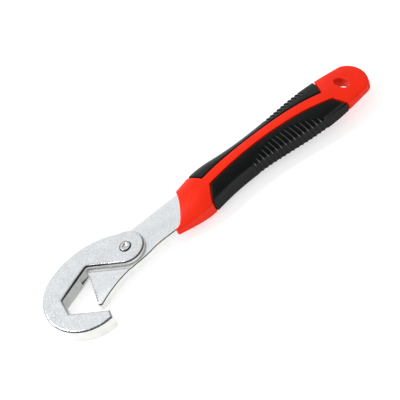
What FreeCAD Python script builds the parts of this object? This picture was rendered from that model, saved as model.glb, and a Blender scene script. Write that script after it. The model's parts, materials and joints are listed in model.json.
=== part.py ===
"""Self-adjusting hook wrench for nuts of about 20 to 32 mm, in millimetres.

The head works in the XY plane: a forked hook turns on a rivet that stands along Z, and closes on the serrated
jaw of the plate handle.  Outlines are drawn about the rivet's axis, with +X along the handle to its tail, and
everything is moved at the end so that the origin is the middle of the underside of the whole wrench.
"""
import FreeCAD, Part
import math
import os
from FreeCAD import Vector

os.makedirs("parts", exist_ok=True)

# ---- driving dimensions -------------------------------------------------------------------------------------
# hook
HOOK_THICK = 11.0          # along the rivet
HOOK_CHAMFER = 1.0         # on every top and bottom edge of the hook
C_CENTRE = (-37.5, -9.3)   # of the hook's round back
C_RADIUS = 28.2
ARM_BACK_Y = 20.9          # highest point of the arm's back
ARM_BACK_RADIUS = 54.3     # of the arm's back, tangent to the round back
LOBE_RADIUS = 12.2         # round end of the cheeks, about the rivet
ARM_ANGLE = -39.5          # direction of the arm's inner edge, which is tangent to the lobe
HEX_ANGLE = 21.5           # direction of the long flat; the next two flats turn 60 degrees each
SHORT_FLAT = 11.6          # the flat at the bottom of the mouth
LOWER_FLAT = 26.5          # from the short flat to the tip
MOUTH_CORNER = (-52.9, -14.9)   # where the short flat meets the lower flat
ARM_CORNER_FILLET = 2.5    # where the long flat meets the arm
TIP_OUTER_X = -33.6        # outer corner of the hook's blunt tip
# directions of a point about half way along each of the hook's three arcs
C_MIDDLE_ANGLE = 190.0
BACK_MIDDLE_ANGLE = 90.0
LOBE_MIDDLE_ANGLE = -20.0
# fork and plate
PLATE_THICK = 5.0
SLOT_WIDTH = 5.2           # between the cheeks
TONGUE_RADIUS = 10.5       # of the plate's eye, and from the rivet to the shank's top edge
SLOT_CLEARANCE = 0.5       # between the plate's eye and the root of the slot
OPENING_ANGLE = 68.0       # full travel of the hook, chosen to let a 32 mm nut in
STOP_CLEARANCE = 0.4       # left between shank and slot root at full travel
SLOT_BREAKOUT_X = -35.0    # how far along the long flat the slot breaks out
SLOT_SIDE_REACH = 5.0      # how far the slot is cut past the lobe's side
# fixed jaw
JAW_THICK = 6.2
JAW_TOP = (-27.7, 5.3)     # upper corner of the serrated face
JAW_TIP = (-35.5, -21.0)   # lower corner of the serrated face
LEDGE = 2.2                # bare plate between the arm and the thicker jaw
JAW_BEVEL = 1.0            # width of the slope up to the thicker jaw
JAW_HEEL_SETBACK = (2.6, 1.9)   # of the rounded heel under the jaw's tip
JAW_HEEL_RISE = 0.9
TOOTH_PITCH = 2.2
TOOTH_DEPTH = 0.9
TOOTH_COUNT = 10
FIRST_TOOTH = 0.9          # from the jaw's tip
JAW_UNDER_RADIUS = 64.0    # curve under the jaw
JAW_UNDER_REACH = 18.0     # from the eye to the middle of that curve
# shank and tang
SHANK_TOP = 10.5
SHANK_BOTTOM = -11.9
EYE_BOTTOM = -13.8         # the plate is deeper under the rivet
EYE_BOTTOM_X = 2.0
SHANK_BEND_X = 20.0        # where the deeper part ends
SHANK_BEND_RISE = 0.22     # of the two arcs that blend it into the shank
SHANK_END_X = 52.0
TANG_START_X = 60.0
TANG_END_X = 150.0
TANG_TOP = 4.5
TANG_BOTTOM = -7.0
TANG_HOLE_RADIUS = 2.5
TANG_HOLES_X = (78.0, 104.0, 130.0)
# rivet and spring
PIN_RADIUS = 3.5
PIN_RUNNING_GAP = 0.05     # radial, in the plate's eye
PIN_DOME = 0.7             # how far each head stands proud
PIN_DIMPLE_RADIUS = 1.1
PIN_DIMPLE_DEPTH = 0.5
COUNTERSINK_RADIUS = 4.3
COUNTERSINK_DEPTH = 0.8
PIN_RIM_SHARE = 0.6        # of the countersink's depth, left bare above the rivet's rim
PIN_SHOULDER = (0.8, 0.65) # shares of the rivet's radius and dome that its rounded head passes through
WIRE_RADIUS = 0.45
COIL_RADIUS = 4.6
COIL_TURNS = 2.5
COIL_PITCH = 1.0
POCKET_RADIUS = 5.7
POCKET_DEPTH = 3.4
SPRING_LEG = 3.2           # how far each end of the spring reaches outward
SPRING_FLOOR_GAP = 0.1     # under the coil
UPPER_LEG_Z = 3.15         # the upper leg lies in a groove in the cheek
GROOVE_ROOM = 0.3          # left above the leg
NOTCH_OVERLAP = 0.5        # of the lower leg's notch into the pocket
# grip
GRIP_HALF_THICK = 10.0
PAD_DEPTH = 2.2
PADS_START_X = 40.0        # the stations between these two carry the core under the pads
PADS_END_X = 176.0
CORE_SIDE_SHARE = 0.6      # most that the core's flat side takes of its half thickness
# stations along the grip: x, lower side y, upper side y, half thickness, half height of the flat side
GRIP_STATIONS = (
    (26.0, -11.6, 10.9, 3.4, 2.1),
    (36.0, -13.8, 11.1, 5.0, 2.4),
    (46.0, -15.3, 11.6, 7.4, 2.9),
    (56.0, -15.4, 13.5, 9.2, 3.5),
    (66.0, -13.6, 14.4, 9.9, 3.9),
    (82.0, -11.8, 12.8, GRIP_HALF_THICK, 4.0),
    (102.0, -12.0, 11.8, GRIP_HALF_THICK, 4.0),
    (120.0, -14.0, 12.4, 9.8, 4.0),
    (138.0, -16.2, 13.8, 9.2, 3.8),
    (150.0, -16.9, 14.0, 8.2, 3.4),
    (162.0, -16.8, 13.7, 6.3, 2.6),
    (174.0, -15.6, 12.4, 4.7, 1.9),
    (182.0, -14.4, 11.0, 4.1, 1.7),
    (187.0, -13.6, 10.0, 2.6, 1.1),
)
CORNER_SHARE = 0.34        # section corner radius as a share of the crown's height over the flat side
# the grip's outline from above: the collar's slanted, hollow front and the rounded tail
COLLAR_SHOULDER = (46.0, 10.6)
COLLAR_HOLLOW = (42.2, -0.8)
COLLAR_TOE = (34.6, -10.9)
COLLAR_FOOT = (30.6, -12.1)
TAIL_END_X = 186.3
TAIL_SHOULDER = (173.0, 14.0)
TAIL_BROW = (181.6, 8.6)
TAIL_TIP = (TAIL_END_X, -2.0)
TAIL_CHIN = (185.9, -6.8)
TAIL_UNDER = (184.2, -11.2)
TAIL_CURL = (182.6, -13.6)
TAIL_HEEL = (179.5, -15.4)
# the pads from above: front end on the grip's side, nose, rear and rear end on the side, and the arcs' rises
UPPER_PAD = ((57.2, 13.6), (62.6, 1.9), (156.6, -0.2), (158.6, 13.2))
UPPER_PAD_RISES = (-0.6, 4.6, 0.0)
LOWER_PAD = ((58.4, -15.0), (63.9, -4.6), (159.2, -8.2), (163.8, -16.0))
LOWER_PAD_RISES = (-0.8, 4.9, 0.8)
HANG_HOLE = (170.2, -1.4)  # centre
HANG_HALF_ACROSS = 5.4
HANG_HALF_ALONG = 3.1
HANG_TILT = 18.0           # how far its lower end leans to the tail

# ---- worked out from them -----------------------------------------------------------------------------------
HALF_HOOK = HOOK_THICK / 2
HALF_PLATE = PLATE_THICK / 2
HALF_JAW = JAW_THICK / 2
HOOK_LEFT_X = C_CENTRE[0] - C_RADIUS
HOOK_LOW_Y = C_CENTRE[1] - C_RADIUS
# the rivet's axis and the plate's middle, seen from the wrench's origin
PIVOT_X = -(HOOK_LEFT_X + TAIL_END_X) / 2
PIVOT_Y = -(HOOK_LOW_Y + ARM_BACK_Y) / 2
PIVOT_Z = GRIP_HALF_THICK
SPRING_TURN = 360 * (COIL_TURNS % 1)    # from the spring's lower leg to its upper leg
NEAR = 0.05                # two places this close are the same
DEEP = 40.0                # longer than anything is thick
WIDE = 60.0                # wider than anything is wide


# ---- small helpers ------------------------------------------------------------------------------------------
def at_angle(length, degrees, start=(0.0, 0.0)):
    """The point at a distance and direction from a start point."""
    turn = math.radians(degrees)
    return (start[0] + length * math.cos(turn), start[1] + length * math.sin(turn))


def v(point, z=0.0):
    return Vector(point[0], point[1], z)


def crossing(point_a, angle_a, point_b, angle_b):
    """Where two lines in the plane cross, each given by a point and a direction in degrees."""
    ax, ay = at_angle(1.0, angle_a)
    bx, by = at_angle(1.0, angle_b)
    dx = point_b[0] - point_a[0]
    dy = point_b[1] - point_a[1]
    share = (dx * by - dy * bx) / (ax * by - ay * bx)
    return (point_a[0] + share * ax, point_a[1] + share * ay)


def outline(start, *steps):
    """A closed wire. A step is an end point, or a pair (point on the arc, end point)."""
    edges = []
    here = start
    for step in steps:
        if isinstance(step[0], tuple):
            edges.append(Part.Arc(v(here), v(step[0]), v(step[1])).toShape())
            here = step[1]
        else:
            edges.append(Part.LineSegment(v(here), v(step)).toShape())
            here = step
    if math.dist(here, start) > 1e-6:
        edges.append(Part.LineSegment(v(here), v(start)).toShape())
    return Part.Wire(edges)


def slab(wire, half_height):
    """The wire's face, extruded both ways from z = 0."""
    face = Part.Face(wire)
    face.translate(Vector(0, 0, -half_height))
    return face.extrude(Vector(0, 0, 2 * half_height))


def cylinder(radius, low, high, centre=(0.0, 0.0)):
    return Part.makeCylinder(radius, high - low, v(centre, low))


def edges_where(shape, test):
    return [edge for edge in shape.Edges if test(edge)]


def arc_through(start, end, rise):
    """The middle point of an arc from start to end that bulges by rise to the left of that direction."""
    length = math.dist(start, end)
    middle = ((start[0] + end[0]) / 2, (start[1] + end[1]) / 2)
    normal = (-(end[1] - start[1]) / length, (end[0] - start[0]) / length)
    return (middle[0] + rise * normal[0], middle[1] + rise * normal[1])


# ---- hook ---------------------------------------------------------------------------------------------------
ARM_FOOT = at_angle(LOBE_RADIUS, ARM_ANGLE - 90)       # where the arm's inner edge meets the lobe
MOUTH_TOP = at_angle(SHORT_FLAT, HEX_ANGLE + 60, MOUTH_CORNER)
ARM_CORNER = crossing(MOUTH_TOP, HEX_ANGLE, ARM_FOOT, ARM_ANGLE)
TIP_INNER = at_angle(LOWER_FLAT, HEX_ANGLE - 60, MOUTH_CORNER)


def arm_back_centre():
    """Centre of the arm's back: its top is at ARM_BACK_Y and it is tangent to the round back from outside."""
    y = ARM_BACK_Y - ARM_BACK_RADIUS
    reach = ARM_BACK_RADIUS - C_RADIUS
    return (C_CENTRE[0] + math.sqrt(reach ** 2 - (y - C_CENTRE[1]) ** 2), y)


def circle_crossing(centre, radius):
    """Where the arm's back, coming from the left, first meets the lobe."""
    distance = math.hypot(*centre)
    along = (LOBE_RADIUS ** 2 - radius ** 2 + distance ** 2) / (2 * distance)
    off = math.sqrt(LOBE_RADIUS ** 2 - along ** 2)
    ux = centre[0] / distance
    uy = centre[1] / distance
    crossings = [(along * ux - side * off * uy, along * uy + side * off * ux) for side in (1, -1)]
    return max(crossings, key=lambda point: point[1])


def hook_outline():
    back = arm_back_centre()
    lean = math.degrees(math.atan2(C_CENTRE[1] - back[1], C_CENTRE[0] - back[0]))
    back_start = at_angle(C_RADIUS, lean, C_CENTRE)
    back_end = circle_crossing(back, ARM_BACK_RADIUS)
    tip_outer = (TIP_OUTER_X, C_CENTRE[1] - math.sqrt(C_RADIUS ** 2 - (TIP_OUTER_X - C_CENTRE[0]) ** 2))
    return outline(
        ARM_FOOT,
        ARM_CORNER,
        MOUTH_TOP,
        MOUTH_CORNER,
        TIP_INNER,
        tip_outer,
        (at_angle(C_RADIUS, C_MIDDLE_ANGLE, C_CENTRE), back_start),
        (at_angle(ARM_BACK_RADIUS, BACK_MIDDLE_ANGLE, back), back_end),
        (at_angle(LOBE_RADIUS, LOBE_MIDDLE_ANGLE), ARM_FOOT),
    )


def slot_outline():
    """Everything that the plate sweeps inside the fork, with a root that stops the shank at full travel."""
    tangent = math.degrees(math.atan2(JAW_TOP[1], JAW_TOP[0]))
    tangent -= math.degrees(math.acos(TONGUE_RADIUS / math.hypot(*JAW_TOP)))
    root_angle = tangent - 90
    root_point = at_angle(TONGUE_RADIUS + SLOT_CLEARANCE, tangent)
    stop_point = at_angle(TONGUE_RADIUS + STOP_CLEARANCE, 90 + OPENING_ANGLE)
    root_corner = crossing(root_point, root_angle, stop_point, OPENING_ANGLE)
    root_left = crossing(root_point, root_angle, (SLOT_BREAKOUT_X, 0.0), 90)
    stop_far = at_angle(WIDE, OPENING_ANGLE, root_corner)
    return outline(
        root_left,
        root_corner,
        stop_far,
        (WIDE, -WIDE),
        (SLOT_BREAKOUT_X, -WIDE),
    )


def hook_shape():
    blank = slab(hook_outline(), HALF_HOOK)
    corner = edges_where(blank, lambda edge: math.dist(edge.CenterOfMass[:2], ARM_CORNER) < NEAR)
    blank = blank.makeFillet(ARM_CORNER_FILLET, corner)
    flat_edges = edges_where(blank, lambda edge: abs(abs(edge.CenterOfMass.z) - HALF_HOOK) < NEAR)
    blank = blank.makeChamfer(HOOK_CHAMFER, flat_edges)
    # the slot reaches only the arm and the lobe, not the hook's lower half
    low_corner = Vector(SLOT_BREAKOUT_X, -LOBE_RADIUS - SLOT_SIDE_REACH, -SLOT_WIDTH / 2)
    slot_zone = Part.makeBox(WIDE, 2 * WIDE, SLOT_WIDTH, low_corner)
    slot = slab(slot_outline(), SLOT_WIDTH / 2).common(slot_zone)
    hook = blank.cut(slot)
    hook = hook.cut(cylinder(PIN_RADIUS, -DEEP, DEEP))
    for side in (1, -1):
        sink = Part.makeCone(PIN_RADIUS, COUNTERSINK_RADIUS, COUNTERSINK_DEPTH,
                             Vector(0, 0, side * (HALF_HOOK - COUNTERSINK_DEPTH)), Vector(0, 0, side))
        hook = hook.cut(sink)
    return hook.cut(hook_spring_groove())


def hook_spring_groove():
    """A short groove under the upper cheek that holds the spring's upper leg."""
    length = COIL_RADIUS + SPRING_LEG + WIRE_RADIUS
    roof = UPPER_LEG_Z + WIRE_RADIUS + GROOVE_ROOM
    groove = Part.makeBox(length, 4 * WIRE_RADIUS, roof, Vector(0, -2 * WIRE_RADIUS, 0))
    groove.rotate(Vector(0, 0, 0), Vector(0, 0, 1), SPRING_TURN)
    return groove


# ---- plate: jaw, eye, shank and tang ------------------------------------------------------------------------
def jaw_face():
    """Corners of the serrated face from the jaw's tip upward: a notch between each two teeth."""
    length = math.dist(JAW_TIP, JAW_TOP)
    along = ((JAW_TOP[0] - JAW_TIP[0]) / length, (JAW_TOP[1] - JAW_TIP[1]) / length)
    inward = (along[1], -along[0])
    points = []
    for tooth in range(TOOTH_COUNT):
        crest = FIRST_TOOTH + tooth * TOOTH_PITCH
        root = crest + TOOTH_PITCH / 2
        points.append((JAW_TIP[0] + crest * along[0], JAW_TIP[1] + crest * along[1]))
        points.append((JAW_TIP[0] + root * along[0] + TOOTH_DEPTH * inward[0],
                       JAW_TIP[1] + root * along[1] + TOOTH_DEPTH * inward[1]))
    last = FIRST_TOOTH + TOOTH_COUNT * TOOTH_PITCH
    points.append((JAW_TIP[0] + last * along[0], JAW_TIP[1] + last * along[1]))
    return points


def plate_outline():
    neck = math.degrees(math.atan2(JAW_TOP[1], JAW_TOP[0]))
    neck -= math.degrees(math.acos(TONGUE_RADIUS / math.hypot(*JAW_TOP)))
    neck_foot = at_angle(TONGUE_RADIUS, neck)
    jaw_heel = (JAW_TIP[0] + JAW_HEEL_SETBACK[0], JAW_TIP[1] - JAW_HEEL_SETBACK[1])
    under_drop = JAW_UNDER_RADIUS - math.sqrt(JAW_UNDER_RADIUS ** 2 - JAW_UNDER_REACH ** 2)
    under_middle = (EYE_BOTTOM_X - JAW_UNDER_REACH, EYE_BOTTOM - under_drop)
    bend_middle = ((EYE_BOTTOM_X + SHANK_BEND_X) / 2, (EYE_BOTTOM + SHANK_BOTTOM) / 2)
    return outline(
        JAW_TIP,
        *jaw_face(),
        JAW_TOP,
        neck_foot,
        (at_angle(TONGUE_RADIUS, (neck + 90) / 2), (0.0, SHANK_TOP)),
        (SHANK_END_X, SHANK_TOP),
        (TANG_START_X, TANG_TOP),
        (TANG_END_X, TANG_TOP),
        (TANG_END_X, TANG_BOTTOM),
        (TANG_START_X, TANG_BOTTOM),
        (SHANK_END_X, SHANK_BOTTOM),
        (SHANK_BEND_X, SHANK_BOTTOM),
        (arc_through((SHANK_BEND_X, SHANK_BOTTOM), bend_middle, -SHANK_BEND_RISE), bend_middle),
        (arc_through(bend_middle, (EYE_BOTTOM_X, EYE_BOTTOM), SHANK_BEND_RISE), (EYE_BOTTOM_X, EYE_BOTTOM)),
        (under_middle, jaw_heel),
        (arc_through(jaw_heel, JAW_TIP, JAW_HEEL_RISE), JAW_TIP),
    )


def jaw_zone():
    """The space of the thicker jaw: beyond the ledge, with a slope up to its full thickness."""
    foot = LOBE_RADIUS + LEDGE
    crest = foot + JAW_BEVEL
    far = WIDE
    profile = [(foot, -HALF_PLATE), (crest, -HALF_JAW), (far, -HALF_JAW), (far, HALF_JAW), (crest, HALF_JAW),
               (foot, HALF_PLATE)]
    corners = [Vector(0, -distance, z) for distance, z in profile]
    face = Part.Face(Part.makePolygon(corners + corners[:1]))
    zone = face.extrude(Vector(-2 * WIDE, 0, 0))
    zone.translate(Vector(WIDE, 0, 0))
    zone.rotate(Vector(0, 0, 0), Vector(0, 0, 1), ARM_ANGLE)
    return zone


def bar_shape():
    wire = plate_outline()
    plate = slab(wire, HALF_PLATE)
    jaw = slab(wire, HALF_JAW).common(jaw_zone())
    bar = plate.fuse(jaw).removeSplitter()
    bar = bar.cut(cylinder(PIN_RADIUS + PIN_RUNNING_GAP, -DEEP, DEEP))
    bar = bar.cut(cylinder(POCKET_RADIUS, HALF_PLATE - POCKET_DEPTH, DEEP))
    notch = Part.makeBox(COIL_RADIUS + SPRING_LEG + 2 * WIRE_RADIUS, 4 * WIRE_RADIUS, POCKET_DEPTH,
                         Vector(0, -2 * WIRE_RADIUS, HALF_PLATE - POCKET_DEPTH))
    bar = bar.cut(notch.cut(cylinder(POCKET_RADIUS - NOTCH_OVERLAP, -DEEP, DEEP)))
    for x in TANG_HOLES_X:
        bar = bar.cut(cylinder(TANG_HOLE_RADIUS, -DEEP, DEEP, (x, (TANG_TOP + TANG_BOTTOM) / 2)))
    return bar


# ---- rivet and spring ---------------------------------------------------------------------------------------
def pin_shape():
    """Turned about Z: a shank that ends in a low dome with a dimple at each end."""
    tip = HALF_HOOK + PIN_DOME
    rim = HALF_HOOK - COUNTERSINK_DEPTH * PIN_RIM_SHARE
    shoulder = (PIN_RADIUS * PIN_SHOULDER[0], HALF_HOOK + PIN_DOME * PIN_SHOULDER[1])
    dimple_edge = (PIN_DIMPLE_RADIUS, tip)
    dimple_floor = (0.0, tip - PIN_DIMPLE_DEPTH)

    def rz(point, side):
        return Vector(point[0], 0, side * point[1])

    def head(side):
        dome = Part.Arc(rz((PIN_RADIUS, rim), side), rz(shoulder, side), rz(dimple_edge, side)).toShape()
        dimple = Part.LineSegment(rz(dimple_edge, side), rz(dimple_floor, side)).toShape()
        return [dome, dimple]

    wall = Part.LineSegment(rz((PIN_RADIUS, rim), -1), rz((PIN_RADIUS, rim), 1)).toShape()
    axis = Part.LineSegment(rz(dimple_floor, 1), rz(dimple_floor, -1)).toShape()
    upper = head(1)
    lower = head(-1)
    wire = Part.Wire([wall, upper[0], upper[1], axis, lower[1], lower[0]])
    return Part.Face(wire).revolve(Vector(0, 0, 0), Vector(0, 0, 1), 360)


def spring_shape():
    """A close-wound torsion spring in the plate's pocket. Its lower leg lies in the plate, and its upper end
    rises out of the pocket to a leg in the cheek's groove."""
    low = HALF_PLATE - POCKET_DEPTH + WIRE_RADIUS + SPRING_FLOOR_GAP
    high = low + COIL_TURNS * COIL_PITCH
    coil = Part.makeHelix(COIL_PITCH, COIL_TURNS * COIL_PITCH, COIL_RADIUS)
    coil.translate(Vector(0, 0, low))
    start = Vector(COIL_RADIUS, 0, low)
    ring = Part.Wire(Part.makeCircle(WIRE_RADIUS, start, Vector(0, 1, 0)))
    body = Part.Wire(coil).makePipeShell([ring], True, True)
    end = v(at_angle(COIL_RADIUS, SPRING_TURN), high)
    knee = v(at_angle(COIL_RADIUS, SPRING_TURN), UPPER_LEG_Z)
    out = v(at_angle(1.0, SPRING_TURN))
    legs = [
        Part.makeCylinder(WIRE_RADIUS, SPRING_LEG, start, Vector(1, 0, 0)),
        Part.makeCylinder(WIRE_RADIUS, UPPER_LEG_Z - high, end, Vector(0, 0, 1)),
        Part.makeCylinder(WIRE_RADIUS, SPRING_LEG, knee, out),
    ]
    knees = [Part.makeSphere(WIRE_RADIUS, point) for point in (start, end, knee)]
    return body.fuse(legs + knees)


# ---- grip ---------------------------------------------------------------------------------------------------
def grip_section(x, low_y, high_y, half_thick, half_side):
    """One closed section: a crowned top and bottom, flat sides and rounded corners between them."""
    corner = CORNER_SHARE * (half_thick - half_side)
    middle = (low_y + high_y) / 2
    half_width = (high_y - low_y) / 2
    chord = half_width - corner
    sagitta = half_thick - corner - half_side
    crown_radius = (chord ** 2 + sagitta ** 2) / (2 * sagitta)
    crown_centre = half_thick - corner - crown_radius
    lean = math.atan2(chord, half_side - crown_centre)

    def on_corner(angle, y_side, z_side):
        return Vector(x, middle + y_side * (chord + corner * math.sin(angle)),
                      z_side * (half_side + corner * math.cos(angle)))

    def crown(z_side):
        ends = [on_corner(lean, y_side, z_side) for y_side in (-z_side, z_side)]
        top = Vector(x, middle, z_side * half_thick)
        return Part.Arc(ends[0], top, ends[1]).toShape()

    def quarter(y_side, z_side, outward):
        angles = (lean, (lean + math.pi / 2) / 2, math.pi / 2)
        points = [on_corner(angle, y_side, z_side) for angle in angles]
        if not outward:
            points.reverse()
        return Part.Arc(*points).toShape()

    def side(y_side):
        ends = [on_corner(math.pi / 2, y_side, z_side) for z_side in (y_side, -y_side)]
        return Part.LineSegment(*ends).toShape()

    return Part.Wire([crown(1), quarter(1, 1, True), side(1), quarter(1, -1, False),
                      crown(-1), quarter(-1, -1, True), side(-1), quarter(-1, 1, False)])


def grip_loft():
    return Part.makeLoft([grip_section(*station) for station in GRIP_STATIONS], True, False)


def under_pads_loft():
    """The hard core under the pads, which is the grip's own shape with PAD_DEPTH taken off all round."""
    sections = []
    for x, low_y, high_y, half_thick, half_side in GRIP_STATIONS:
        if PADS_START_X < x < PADS_END_X:
            thick = half_thick - PAD_DEPTH
            sections.append(grip_section(x, low_y + PAD_DEPTH, high_y - PAD_DEPTH, thick,
                                         min(half_side, CORE_SIDE_SHARE * thick)))
    return Part.makeLoft(sections, True, False)


def grip_planform():
    """Seen from above: a slanted, hollow front edge and a rounded tail."""
    return outline(
        (COLLAR_SHOULDER[0], WIDE),
        COLLAR_SHOULDER,
        (COLLAR_HOLLOW, COLLAR_TOE),
        COLLAR_FOOT,
        (COLLAR_FOOT[0], -WIDE),
        (TAIL_HEEL[0], -WIDE),
        TAIL_HEEL,
        (TAIL_CURL, TAIL_UNDER),
        (TAIL_CHIN, TAIL_TIP),
        (TAIL_BROW, TAIL_SHOULDER),
        (TAIL_SHOULDER[0], WIDE),
    )


def pad_zone(corners, rises, side):
    """Seen from above: a pad's front, its arched edge along the spine stripe, and its rear."""
    steps = []
    for start, end, rise in zip(corners, corners[1:], rises):
        steps.append((arc_through(start, end, rise), end) if rise else end)
    return outline((corners[0][0], side * WIDE), corners[0], *steps, (corners[-1][0], side * WIDE))


def hang_hole():
    """An elliptical hole through the tail, long across the handle and leaning a little."""
    rim = Part.Ellipse(Vector(0, 0, 0), HANG_HALF_ACROSS, HANG_HALF_ALONG).toShape()
    rim.rotate(Vector(0, 0, 0), Vector(0, 0, 1), 90 + HANG_TILT)
    rim.translate(v(HANG_HOLE))
    return slab(Part.Wire([rim]), DEEP)


def grip_shapes(bar):
    whole = grip_loft().common(slab(grip_planform(), DEEP))
    whole = whole.cut(hang_hole())
    skin = whole.cut(under_pads_loft())
    upper = skin.common(slab(pad_zone(UPPER_PAD, UPPER_PAD_RISES, 1), DEEP))
    lower = skin.common(slab(pad_zone(LOWER_PAD, LOWER_PAD_RISES, -1), DEEP))
    core = whole.cut(upper).cut(lower).cut(bar)
    return core, upper, lower


# ---- export -------------------------------------------------------------------------------------------------
def save(name, shape):
    shape = shape.copy()
    shape.translate(Vector(PIVOT_X, PIVOT_Y, PIVOT_Z))
    if len(shape.Solids) == 1:
        shape = shape.Solids[0]
    box = shape.optimalBoundingBox(False, False)
    print(f"{name}: solids {len(shape.Solids)}, valid {shape.isValid()}, volume {shape.Volume:.0f} mm3, "
          f"x {box.XMin:.2f}..{box.XMax:.2f}, y {box.YMin:.2f}..{box.YMax:.2f}, z {box.ZMin:.2f}..{box.ZMax:.2f}")
    shape.exportStep(f"parts/{name}.step")


bar = bar_shape()
grip_body, grip_pad_upper, grip_pad_lower = grip_shapes(bar)
save("hook_jaw", hook_shape())
save("handle_bar", bar)
save("pivot_pin", pin_shape())
save("torsion_spring", spring_shape())
save("grip_body", grip_body)
save("grip_pad_upper", grip_pad_upper)
save("grip_pad_lower", grip_pad_lower)
print("rivet axis at", round(PIVOT_X, 3), round(PIVOT_Y, 3), PIVOT_Z)
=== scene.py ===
"""Looks of the self-adjusting hook wrench: plated steel head, and a red grip with ribbed black rubber pads.

Shapes are worked out in millimetres about the rivet's axis, as the part's own outlines are, and turned into
metres in the part's frame by place().  The grip is one set of curves: the body, both pads and the grooves
between them all read their surface from section().
"""
import json
import math
import bmesh
import bpy
import numpy as np
from mathutils import Matrix, Vector


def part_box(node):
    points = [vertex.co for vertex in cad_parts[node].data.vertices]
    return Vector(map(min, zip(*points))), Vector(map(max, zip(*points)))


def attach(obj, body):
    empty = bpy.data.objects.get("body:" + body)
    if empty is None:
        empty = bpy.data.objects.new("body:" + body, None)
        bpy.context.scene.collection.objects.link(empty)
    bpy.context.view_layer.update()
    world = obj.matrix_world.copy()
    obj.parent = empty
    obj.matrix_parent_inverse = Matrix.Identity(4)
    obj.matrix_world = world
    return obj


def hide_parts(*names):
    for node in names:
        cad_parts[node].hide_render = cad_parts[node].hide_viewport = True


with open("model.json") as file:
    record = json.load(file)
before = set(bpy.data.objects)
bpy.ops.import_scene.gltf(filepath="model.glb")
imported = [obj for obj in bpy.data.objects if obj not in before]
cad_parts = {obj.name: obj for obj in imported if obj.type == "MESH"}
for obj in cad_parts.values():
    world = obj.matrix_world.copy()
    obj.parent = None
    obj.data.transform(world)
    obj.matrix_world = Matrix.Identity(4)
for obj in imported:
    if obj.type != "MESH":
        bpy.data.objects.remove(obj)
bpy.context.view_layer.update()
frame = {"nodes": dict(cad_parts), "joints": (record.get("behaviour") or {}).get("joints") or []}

# ---- grip, in millimetres about the rivet's axis ----------------------------------------------------------
MM = 0.001
PIVOT = np.array(frame["joints"][0]["pos_m"])
# stations along the grip: x, lower side y, upper side y, half thickness, half height of the flat side
GRIP_STATIONS = (
    (26.0, -11.6, 10.9, 3.4, 2.1),
    (36.0, -13.8, 11.1, 5.0, 2.4),
    (46.0, -15.3, 11.6, 7.4, 2.9),
    (56.0, -15.4, 13.5, 9.2, 3.5),
    (66.0, -13.6, 14.4, 9.9, 3.9),
    (82.0, -11.8, 12.8, 10.0, 4.0),
    (102.0, -12.0, 11.8, 10.0, 4.0),
    (120.0, -14.0, 12.4, 9.8, 4.0),
    (138.0, -16.2, 13.8, 9.2, 3.8),
    (150.0, -16.9, 14.0, 8.2, 3.4),
    (162.0, -16.8, 13.7, 6.3, 2.6),
    (174.0, -15.6, 12.4, 4.7, 1.9),
    (182.0, -14.4, 11.0, 4.1, 1.7),
    (187.0, -13.6, 10.0, 2.6, 1.1),
)
CORNER_SHARE = 0.34
# the spine stripe's two edges seen from above: ends and rise of each arc
UPPER_EDGE = ((62.6, 1.9), (156.6, -0.2), 4.6)
LOWER_EDGE = ((63.9, -4.6), (159.2, -8.2), 4.9)
# where each pad starts and ends on the side of the grip
UPPER_SIDE_X = (57.2, 158.6)
LOWER_SIDE_X = (58.2, 163.8)
SIDE_SHARE = 0.28          # share of a pad, from the side's middle, where its ends run straight across
PAD_GAP = 0.70             # from the pad's rim to the red lip
PAD_EDGE = 0.90            # rounding of the pad's rim
PAD_CORNER = 1.6           # rounding of the pad's corners
LIP = 0.40                 # rounding of the red lip
RECESS = 1.9               # depth of the seat under a pad
FRONT_EDGE = 0.8           # rounding of the collar's front
TAIL_EDGE = 1.5            # rounding of the tail's end
BAR_TOP = 10.55            # the mouth for the plate: its upper and lower side, and half its thickness
BAR_BOTTOM = -11.95
BAR_HALF = 2.55
HANG_HOLE = (170.2, -1.4)  # middle of the hanging hole
HANG_HALF = (3.1, 5.4)     # along and across the handle
HANG_TILT = math.radians(18)
HANG_ROUND = 0.9           # rounding of its rim
HANG_SIDES = 72
HANG_PAST = 14.0           # how far from the plate's middle the drill's flat ends are
# steel
SHARP_FOLD = math.radians(28)          # an edge that folds more than this is rounded
FLAT_FOLD = math.radians(0.4)          # faces that fold less than this are joined first
SHADE_FOLD = math.radians(20)          # an edge that folds more than this is shaded sharp
HOOK_FACE = 5.5            # height of the hook's face over the plate's middle
FACE_NEAR = 0.2            # how near to the face's height its own edges lie
FACE_ROUND = 0.6           # rounding of the hook's outer edges
STEP_ROUND = 0.35          # of the hook's edges a little below its face
STEP_HEIGHT = 4.0          # height over the plate's middle where those start
FINE_ROUND = 0.12          # of edges inside the fork and round the rivet
TEETH_ROUND = 0.30         # of the serrated face's edges
PLATE_CHAMFER = 0.5        # of the plate's other edges
PLATE_FACE = 2.0           # height over the plate's middle from which its edges are chamfered
SINK_RADIUS = 4.3          # of the countersink as designed, and as drawn round the peened head
SINK_DRAWN = 3.9
SINK_NEAR = 0.03           # how near to the countersink's rim a point is moved with it
JAW_TOP = (-27.7, 5.3)     # ends of the serrated face
JAW_TIP = (-35.5, -21.0)
TEETH_REACH = 1.3
WALL_SLOPE = 0.5           # a face whose normal rises by less than this is a sawn wall
# half the rivet's outline, from the middle of its upper head outward: radius and height
RIVET_PROFILE = ((0.0, 5.66), (0.7, 5.68), (1.3, 5.80), (1.75, 6.04), (2.05, 6.14), (2.4, 6.16), (2.9, 6.08),
                 (3.25, 5.94), (3.48, 5.74), (3.56, 5.5), (3.45, 5.0), (3.45, 4.0))
RIVET_SIDES = 60
PEEN_LOBES = 3
PEEN_DEPTH = 0.16
PEEN_AT = 1.45             # radius where the peening's lobes are deepest
PEEN_WIDE = 0.4            # how far they spread from it


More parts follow.
